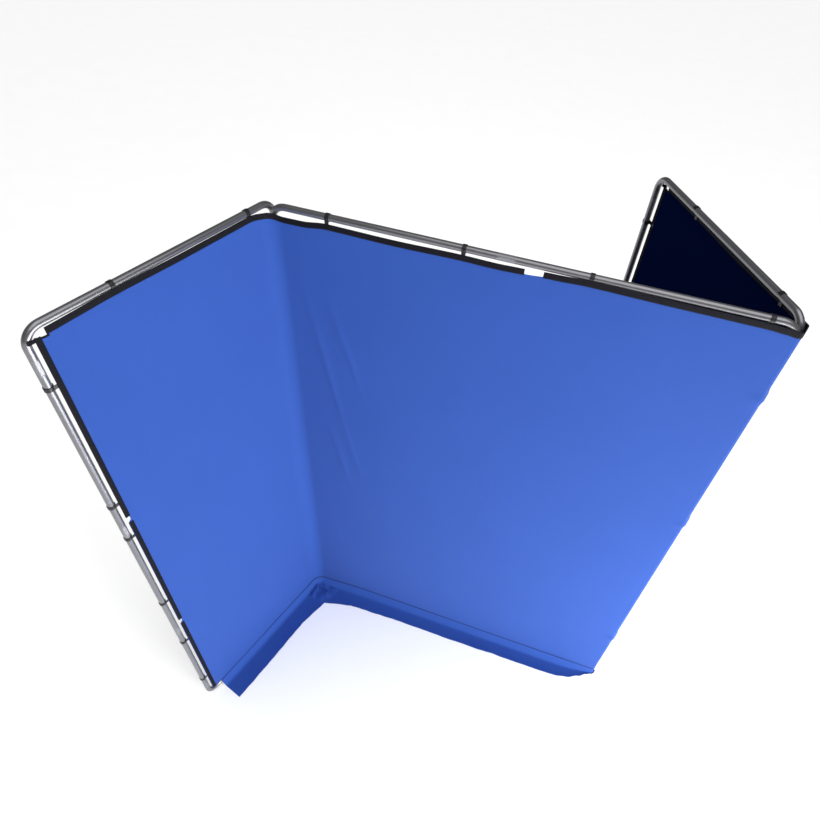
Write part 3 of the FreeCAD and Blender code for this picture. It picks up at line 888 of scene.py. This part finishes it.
class SkirtShape:
    """The cloth that turns forward at the crease and lies on the floor."""

    PROFILE = ((0.0, 1.0), (0.02, 0.93), (0.06, 0.72), (0.11, 0.46), (0.16, 0.24), (0.21, 0.11),
               (0.27, 0.06), (0.36, 0.045), (0.50, 0.04), (0.65, 0.04), (0.80, 0.045),
               (0.90, 0.06), (0.96, 0.075), (1.0, 0.06))

    def __init__(self, shape):
        self.shape = shape
        line = shape.line
        middle, heading, _ = line.at(line.hollow_middle)
        self.corner = middle
        self.bisector = front_of(heading)
        self.front_corner = middle + self.bisector * 0.182
        x = line.station_of_x
        # how far the front edge lies from the wall, along the line
        self.depths = [
            (0.0, 0.149), (0.35, 0.147), (0.62, 0.140), (0.86, 0.158), (line.hollow_middle, 0.16),
            (x(0.16), 0.140), (x(0.26), 0.117), (x(0.60), 0.109), (x(1.0), 0.107), (x(1.5), 0.103),
            (x(1.70), 0.098), (x(1.78), 0.082), (x(1.85), 0.050), (x(1.90), 0.020),
            (line.wrap_start, 0.010), (line.length, 0.008),
        ]

    def front(self, station):
        """The front edge's place for a station; it is mitred at the hollow corner."""
        line = self.shape.line
        place, _, facing = line.at(station)
        depth = eased_between(self.depths, station)
        ripple = 0.005 * noise.noise(Vector((station * 6.0, 0.0, 1.0)))
        ripple += 0.003 * noise.noise(Vector((station * 19.0, 0.0, 2.0)))
        depth += ripple * smooth(line.station_of_x(1.8) - station, 0.0, 0.2)
        from_corner = station - line.hollow_middle
        if abs(from_corner) > MITRE_REACH:
            return place + facing * depth
        anchor_station = line.hollow_middle + math.copysign(MITRE_REACH, from_corner)
        anchor_place, _, anchor_facing = line.at(anchor_station)
        anchor = anchor_place + anchor_facing * eased_between(self.depths, anchor_station)
        share = abs(station - anchor_station) / abs(line.hollow_middle - anchor_station)
        ripple *= math.sin(math.pi * share)
        return anchor.lerp(self.front_corner, share) + anchor_facing * ripple

    def point(self, station, share):
        shape = self.shape
        crease = shape.crease(station)
        foot = shape.line.at(station)[0]
        outward = self.front(station) - foot
        rise = eased_between([(place, amount) for place, amount in self.PROFILE], share)
        height = crease * rise
        place = foot + outward * share
        wave = 0.5 + 0.5 * noise.noise(Vector((station * 11.0, share * 1.5, 4.0)))
        height += 0.0035 * wave * smooth(share, 0.3, 1.0)
        height += skirt_fold(place, self.corner, self.bisector) * smooth(share, 0.06, 0.3)
        return Vector((place.x, place.y, max(height, 0.0022)))


class BACKDROP_OT_skirt(bpy.types.Operator):
    """Lays the foot of the cover on the floor, in front of the left and centre walls"""

    bl_idname = "backdrop.skirt"
    bl_label = "Floor Skirt"

    def execute(self, context):
        shape = cover_shape(context)
        line, sizes = shape.line, shape.sizes
        skirt = SkirtShape(shape)
        start = 0.084 - sizes.edge_gap
        shares = [0.0, 0.015, 0.03, 0.05, 0.075, 0.10, 0.13, 0.16, 0.19, 0.22, 0.26, 0.31, 0.37,
                  0.44, 0.51, 0.58, 0.65, 0.72, 0.79, 0.85, 0.90, 0.94, 0.97, 1.0]
        shares = [1.0 - share for share in reversed(shares)]
        parts = (
            ("left_floor_skirt",
             stations_through(start, FOLDED_STEP, line.hollow_start - BUNCHED_REACH,
                              BUNCHED_STEP, line.hollow_middle),
             ("left_skirt",), "left_frame"),
            ("centre_floor_skirt_left",
             stations_through(line.hollow_middle, BUNCHED_STEP, line.hollow_end + BUNCHED_REACH,
                              FOLDED_STEP, line.split),
             ("centre_skirt",), "centre_frame"),
            ("centre_floor_skirt_right",
             stations_through(line.split, FOLDED_STEP, line.wrap_near, WRAP_STEP,
                              line.wrap_middle),
             ("centre_skirt",), "centre_frame"),
        )
        for name, stations, nodes, body in parts:

            def place(station, inverse):
                share = 1.0 - inverse
                return skirt.point(station, share), (station, -0.16 * share)

            bm = bmesh.new()
            add_grid(bm, stations, shares, place)
            piece = finished_piece(name, bm, cloth_finishes())
            area = sum(polygon.area for polygon in piece.data.polygons)
            thicken(piece, sizes.thickness, back_slot=1)
            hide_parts(*nodes)
            if "skirt_right" in name:
                wrap_blend(piece, shape, body)
            else:
                hollow_blend(piece, shape, body)
            width = stations[-1] - stations[0]
            area / width
        return {"FINISHED"}


# ---------------------------------------------------------------- webbing operator


def webbing_strip(bm, shape, border, stations, heights, upright):
    """A length of webbing over the cloth's edge; upright strips run up the wall."""

    def place(station, share):
        low, high = heights(station)
        height = low + (high - low) * share
        flat = (height, station - stations[0]) if upright else (station, (high - low) * share)
        return shape.point(station, height, border.lift), flat

    rows = 60 if upright else 4
    add_grid(bm, stations, [index / rows for index in range(rows + 1)], place)


class BACKDROP_OT_webbing(bpy.types.Operator):
    """Sews the webbing border along the cover's top and down its outer edges"""

    bl_idname = "backdrop.webbing"
    bl_label = "Webbing Border"

    def execute(self, context):
        shape = cover_shape(context)
        line, sizes = shape.line, shape.sizes
        border = context.scene.backdrop_border
        break_start, break_end = (line.station_of_x(place) for place in TOP_BREAK)
        notch = sizes.notch_width

        def along_top(station):
            top = shape.hem(station) + 0.0008
            return top - border.top_width, top

        overlap = 0.006
        tops = (
            ("left_top_webbing_strip",
             stations_through(notch - overlap, OPEN_STEP, line.hollow_start, HOLLOW_STEP,
                              line.hollow_middle),
             ("left_top_webbing",), "left_frame", hollow_blend),
            ("centre_webbing_strip_left",
             stations_through(line.hollow_middle, HOLLOW_STEP, line.hollow_end, FOLDED_STEP,
                              break_start),
             ("centre_webbing",), "centre_frame", hollow_blend),
            ("centre_webbing_strip_right",
             stations_through(break_end, OPEN_STEP, line.wrap_near, WRAP_STEP, line.wrap_middle),
             ("centre_webbing",), "centre_frame", wrap_blend),
            ("right_top_webbing_strip",
             stations_through(line.wrap_middle, WRAP_STEP, line.wrap_far, OPEN_STEP,
                              line.length - notch + overlap),
             ("right_top_webbing",), "right_frame", wrap_blend),
        )
        black = finish_named("Black webbing")
        for name, stations, nodes, body, blend in tops:
            bm = bmesh.new()
            webbing_strip(bm, shape, border, stations, along_top, False)
            piece = finished_piece(name, bm, [black])
            thicken(piece, border.thickness, edge=0.0006)
            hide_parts(*nodes)
            blend(piece, shape, body)
            stations[-1] - stations[0]
            body.split("_")[0] + "_cover_clips"
        for side in ("left", "right"):
            stations = even_stations(0.0, notch, 0.004)
            if side == "right":
                stations = [line.length - place for place in reversed(stations)]

            def round_notch(station, share):
                from_end = min(station, line.length - station)
                top = shape.hem(station) - shape.scoop(from_end) + 0.0010
                return (shape.point(station, top - 0.0064 * (1 - share), border.lift),
                        (station, share * 0.0064))

            bm = bmesh.new()
            add_grid(bm, stations, [0.0, 0.5, 1.0], round_notch)
            piece = finished_piece(side + "_notch_binding", bm, [black])
            thicken(piece, border.thickness)
            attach(piece, side + "_frame")
        for side in ("left", "right"):
            tab = even_stations(-0.024, 0.008, 0.004)
            if side == "right":
                tab = [line.length - place for place in reversed(tab)]
            top = shape.hem(tab[-1] if side == "left" else tab[0]) - shape.scoop(0.0)
            bm = bmesh.new()
            webbing_strip(bm, shape, border, tab, lambda station: (top - 0.015, top - 0.001), False)
            piece = finished_piece(side + "_corner_tab", bm, [black])
            thicken(piece, 0.0020)
            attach(piece, side + "_frame")
        spans = ((0.0480, 0.988, 0.0), (1.024, 1.916, 0.002), (1.952, 2.850, 0.003))
        for side in ("left", "right"):
            bm = bmesh.new()
            for high_drop, low_drop, inward in spans:
                low, high = WALL_HEIGHT - low_drop, WALL_HEIGHT - high_drop
                if side == "left":
                    edge = even_stations(-0.0008 + inward, border.side_width + inward, 0.007)
                else:
                    edge = even_stations(line.length - border.side_width - inward,
                                         line.length + 0.0008 - inward, 0.007)
                webbing_strip(bm, shape, border, edge, lambda station: (low, high), True)
            piece = finished_piece(side + "_side_webbing_strips", bm, [black])
            thicken(piece, border.thickness, edge=0.0006)
            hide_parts(side + "_side_webbing")
            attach(piece, side + "_frame")
        return {"FINISHED"}


# ---------------------------------------------------------------- stage


class BACKDROP_OT_stage(bpy.types.Operator):
    """Lays a pale floor and hangs soft lights round the wall"""

    bl_idname = "backdrop.stage"
    bl_label = "Studio Stage"

    def execute(self, context):
        scene = context.scene
        settings = scene.backdrop_stage
        scene.view_settings.view_transform = "Standard"
        bm = bmesh.new()
        bmesh.ops.create_grid(bm, x_segments=8, y_segments=8, size=40.0)
        mesh = bpy.data.meshes.new("floor")
        bm.to_mesh(mesh)
        bm.free()
        floor = bpy.data.objects.new("floor", mesh)
        scene.collection.objects.link(floor)
        paint = Finish("Pale floor", Specular_IOR_Level=0.1)
        grain = paint.noise(paint.place(), 3.0, 3.0)
        base = paint.mix(grain, (0.93, 0.93, 0.93, 1.0), (0.96, 0.96, 0.96, 1.0))
        mesh.materials.append(paint.feed(Base_Color=base, Roughness=grain * 0.05 + 0.85))

        world = scene.world or bpy.data.worlds.new("studio")
        scene.world = world
        world.use_nodes = True
        nodes, links = world.node_tree.nodes, world.node_tree.links
        sky = nodes["Background"]
        sky.inputs["Color"].default_value = (1.0, 1.0, 1.0, 1.0)
        ray = nodes.new("ShaderNodeLightPath")
        strength = settings.surround
        for kind, amount in (("Is Glossy Ray", settings.reflected), ("Is Camera Ray", 1.1)):
            choice = nodes.new("ShaderNodeMix")
            links.new(ray.outputs[kind], choice.inputs[0])
            if isinstance(strength, float):
                choice.inputs[2].default_value = strength
            else:
                links.new(strength, choice.inputs[2])
            choice.inputs[3].default_value = amount
            strength = choice.outputs[0]
        links.new(strength, sky.inputs["Strength"])

        lights = (
            ("key", (3.4, -2.0, 0.35), (0.3, 0.0, 0.4), 1.7, settings.key_power),
            ("overhead", (1.3, -1.2, 7.0), (0.5, 0.6, 2.0), 5.2, settings.top_power),
        )
        for name, place, target, size, power in lights:
            lamp = bpy.data.lights.new(name, "AREA")
            lamp.shape = "SQUARE"
            lamp.size = size
            lamp.energy = power
            holder = bpy.data.objects.new(name, lamp)
            aim = Vector(target) - Vector(place)
            holder.matrix_world = (Matrix.Translation(place)
                                   @ aim.to_track_quat("-Z", "Y").to_matrix().to_4x4())
            scene.collection.objects.link(holder)
        return {"FINISHED"}


class BACKDROP_OT_camera(bpy.types.Operator):
    """Stands the camera in front of the wall, above it and to the right of its middle"""

    bl_idname = "backdrop.camera"
    bl_label = "Camera"

    def execute(self, context):
        lens = bpy.data.cameras.new("camera")
        lens.sensor_width = 36.0
        lens.lens = context.scene.backdrop_stage.focal_length
        lens.shift_x = -0.016663
        lens.shift_y = -0.024816
        right = Vector((0.945199, 0.322607, 0.050234))
        down = Vector((0.262395, -0.659030, -0.704860))
        forward = Vector((-0.194288, 0.679414, -0.707565))
        turn = Matrix((right, -down, -forward)).transposed().to_4x4()
        place = CENTRE_MIDDLE + Vector((0.24479, -1.90431, 4.10627))
        camera = bpy.data.objects.new("camera", lens)
        camera.matrix_world = Matrix.Translation(place) @ turn
        context.scene.collection.objects.link(camera)
        context.scene.camera = camera
        return {"FINISHED"}


class BACKDROP_PT_panel(bpy.types.Panel):
    """Lists the wall's pieces"""

    bl_idname = "BACKDROP_PT_panel"
    bl_label = "Backdrop Wall"
    bl_space_type = "VIEW_3D"
    bl_region_type = "UI"
    bl_category = "Backdrop Wall"

    def draw(self, context):
        layout = self.layout
        for operator in OPERATORS:
            layout.operator(operator.bl_idname)
        for group in ("backdrop_cover", "backdrop_border", "backdrop_colours", "backdrop_stage"):
            settings = getattr(context.scene, group)
            box = layout.box()
            for name in settings.__annotations__:
                box.prop(settings, name)


GROUPS = {
    "backdrop_cover": CoverSizes,
    "backdrop_border": BorderSizes,
    "backdrop_colours": WallColours,
    "backdrop_stage": StageSettings,
}
OPERATORS = (
    BACKDROP_OT_camera,
    BACKDROP_OT_finishes,
    BACKDROP_OT_cover,
    BACKDROP_OT_skirt,
    BACKDROP_OT_webbing,
    BACKDROP_OT_stage,
)


def register():
    for kind in (*GROUPS.values(), *OPERATORS, BACKDROP_PT_panel):
        bpy.utils.register_class(kind)
    for name, kind in GROUPS.items():
        setattr(bpy.types.Scene, name, bpy.props.PointerProperty(type=kind))


def unregister():
    for name in GROUPS:
        delattr(bpy.types.Scene, name)
    for kind in reversed((*GROUPS.values(), *OPERATORS, BACKDROP_PT_panel)):
        bpy.utils.unregister_class(kind)


def main():
    register()
    bpy.ops.backdrop.camera()
    bpy.ops.backdrop.finishes()
    bpy.ops.backdrop.cover()
    bpy.ops.backdrop.skirt()
    bpy.ops.backdrop.webbing()
    bpy.ops.backdrop.stage()


if __name__ == "__main__":
    main()
